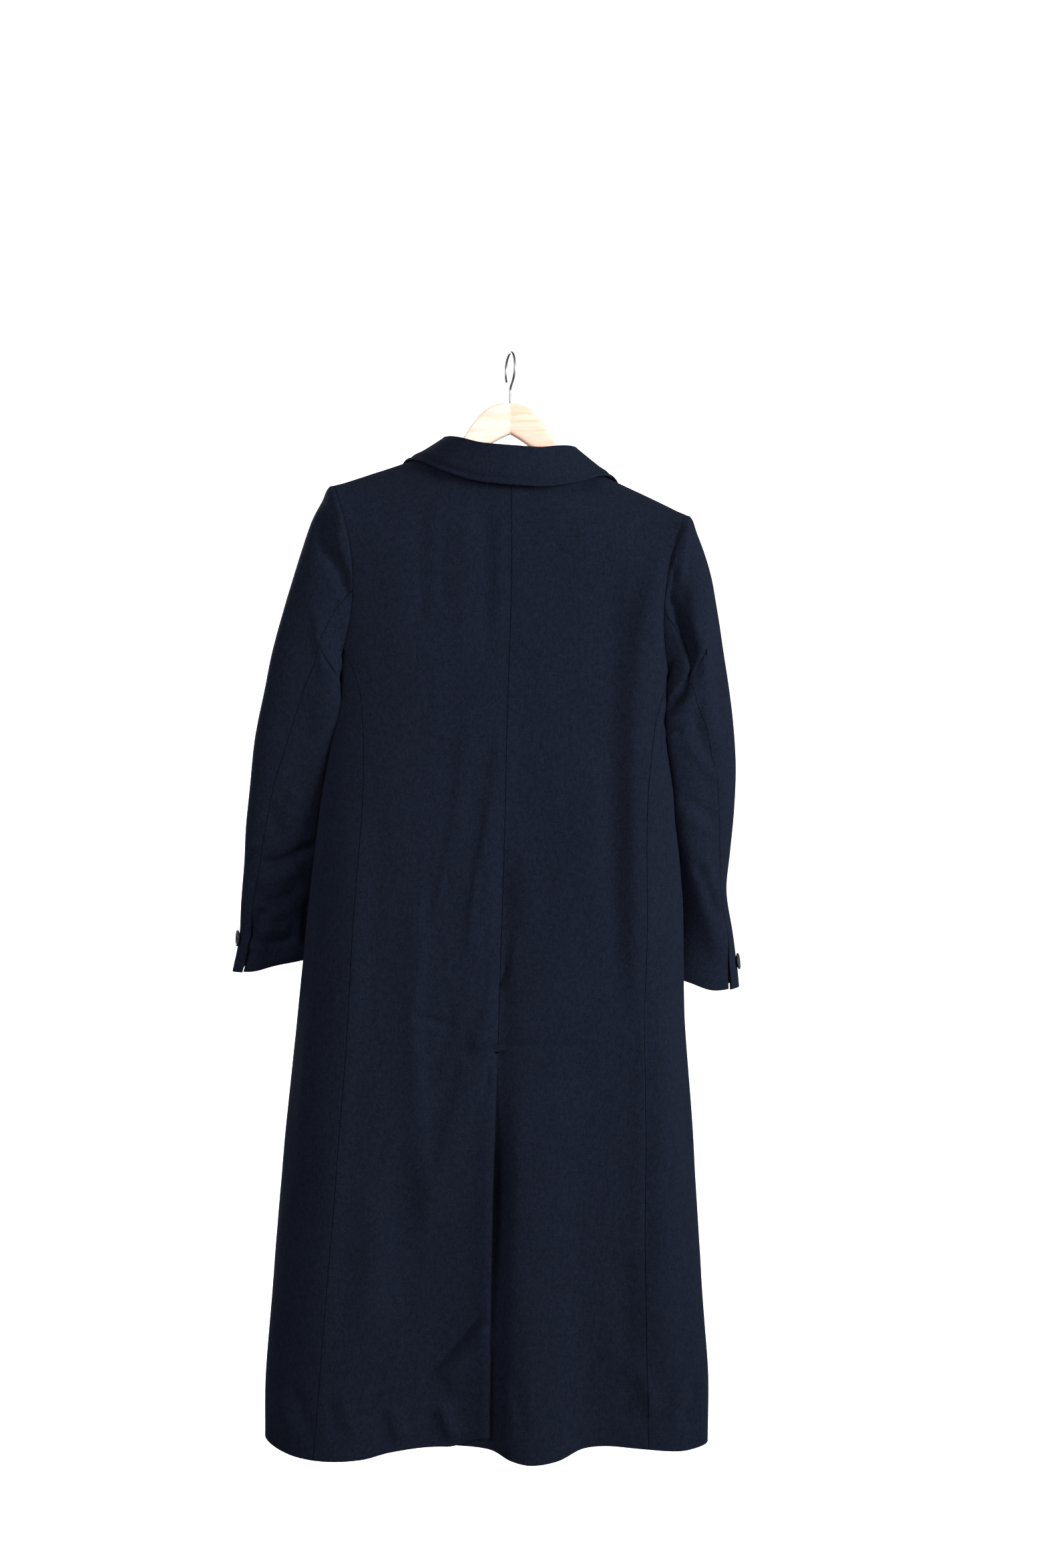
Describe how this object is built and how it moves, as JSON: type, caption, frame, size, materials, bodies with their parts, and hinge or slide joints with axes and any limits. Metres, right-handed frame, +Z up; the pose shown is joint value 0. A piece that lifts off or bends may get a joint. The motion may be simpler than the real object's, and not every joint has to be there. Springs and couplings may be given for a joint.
{
  "type": "tailored coat on wooden hanger",
  "caption": "Long tailored coat with a folded collar, notched lapels, sleeves and a back vent, hung flat on an arched wooden hanger with a wire hook.",
  "frame": {"origin": "point of the hook's wire that bears on the rail", "axes": "+Z up, +X to the wearer's right, +Y the way the wearer faces, so the pictured back faces -Y"},
  "size_m": [0.6431, 0.1982, 1.3429],
  "materials": {
    "wool": "dark navy wool melton, milled and slightly napped",
    "horn": "near-black horn button, satin",
    "wood": "pale wood under clear varnish",
    "steel": "bright plated wire"
  },
  "bodies": {
    "root": {"back_left": "wool", "back_right": "wool", "side_left": "wool", "side_right": "wool", "front_left": "wool", "front_right": "wool", "lapel_left": "wool", "lapel_right": "wool", "collar": "wool", "sleeve_top_left": "wool", "sleeve_top_right": "wool", "sleeve_under_left": "wool", "sleeve_under_right": "wool", "front_button_1": "horn", "front_button_2": "horn", "front_button_3": "horn", "cuff_button_left": "horn", "cuff_button_right": "horn", "hanger_left": "wood", "hanger_right": "wood", "hook": "steel"}
  },
  "joints": []
}
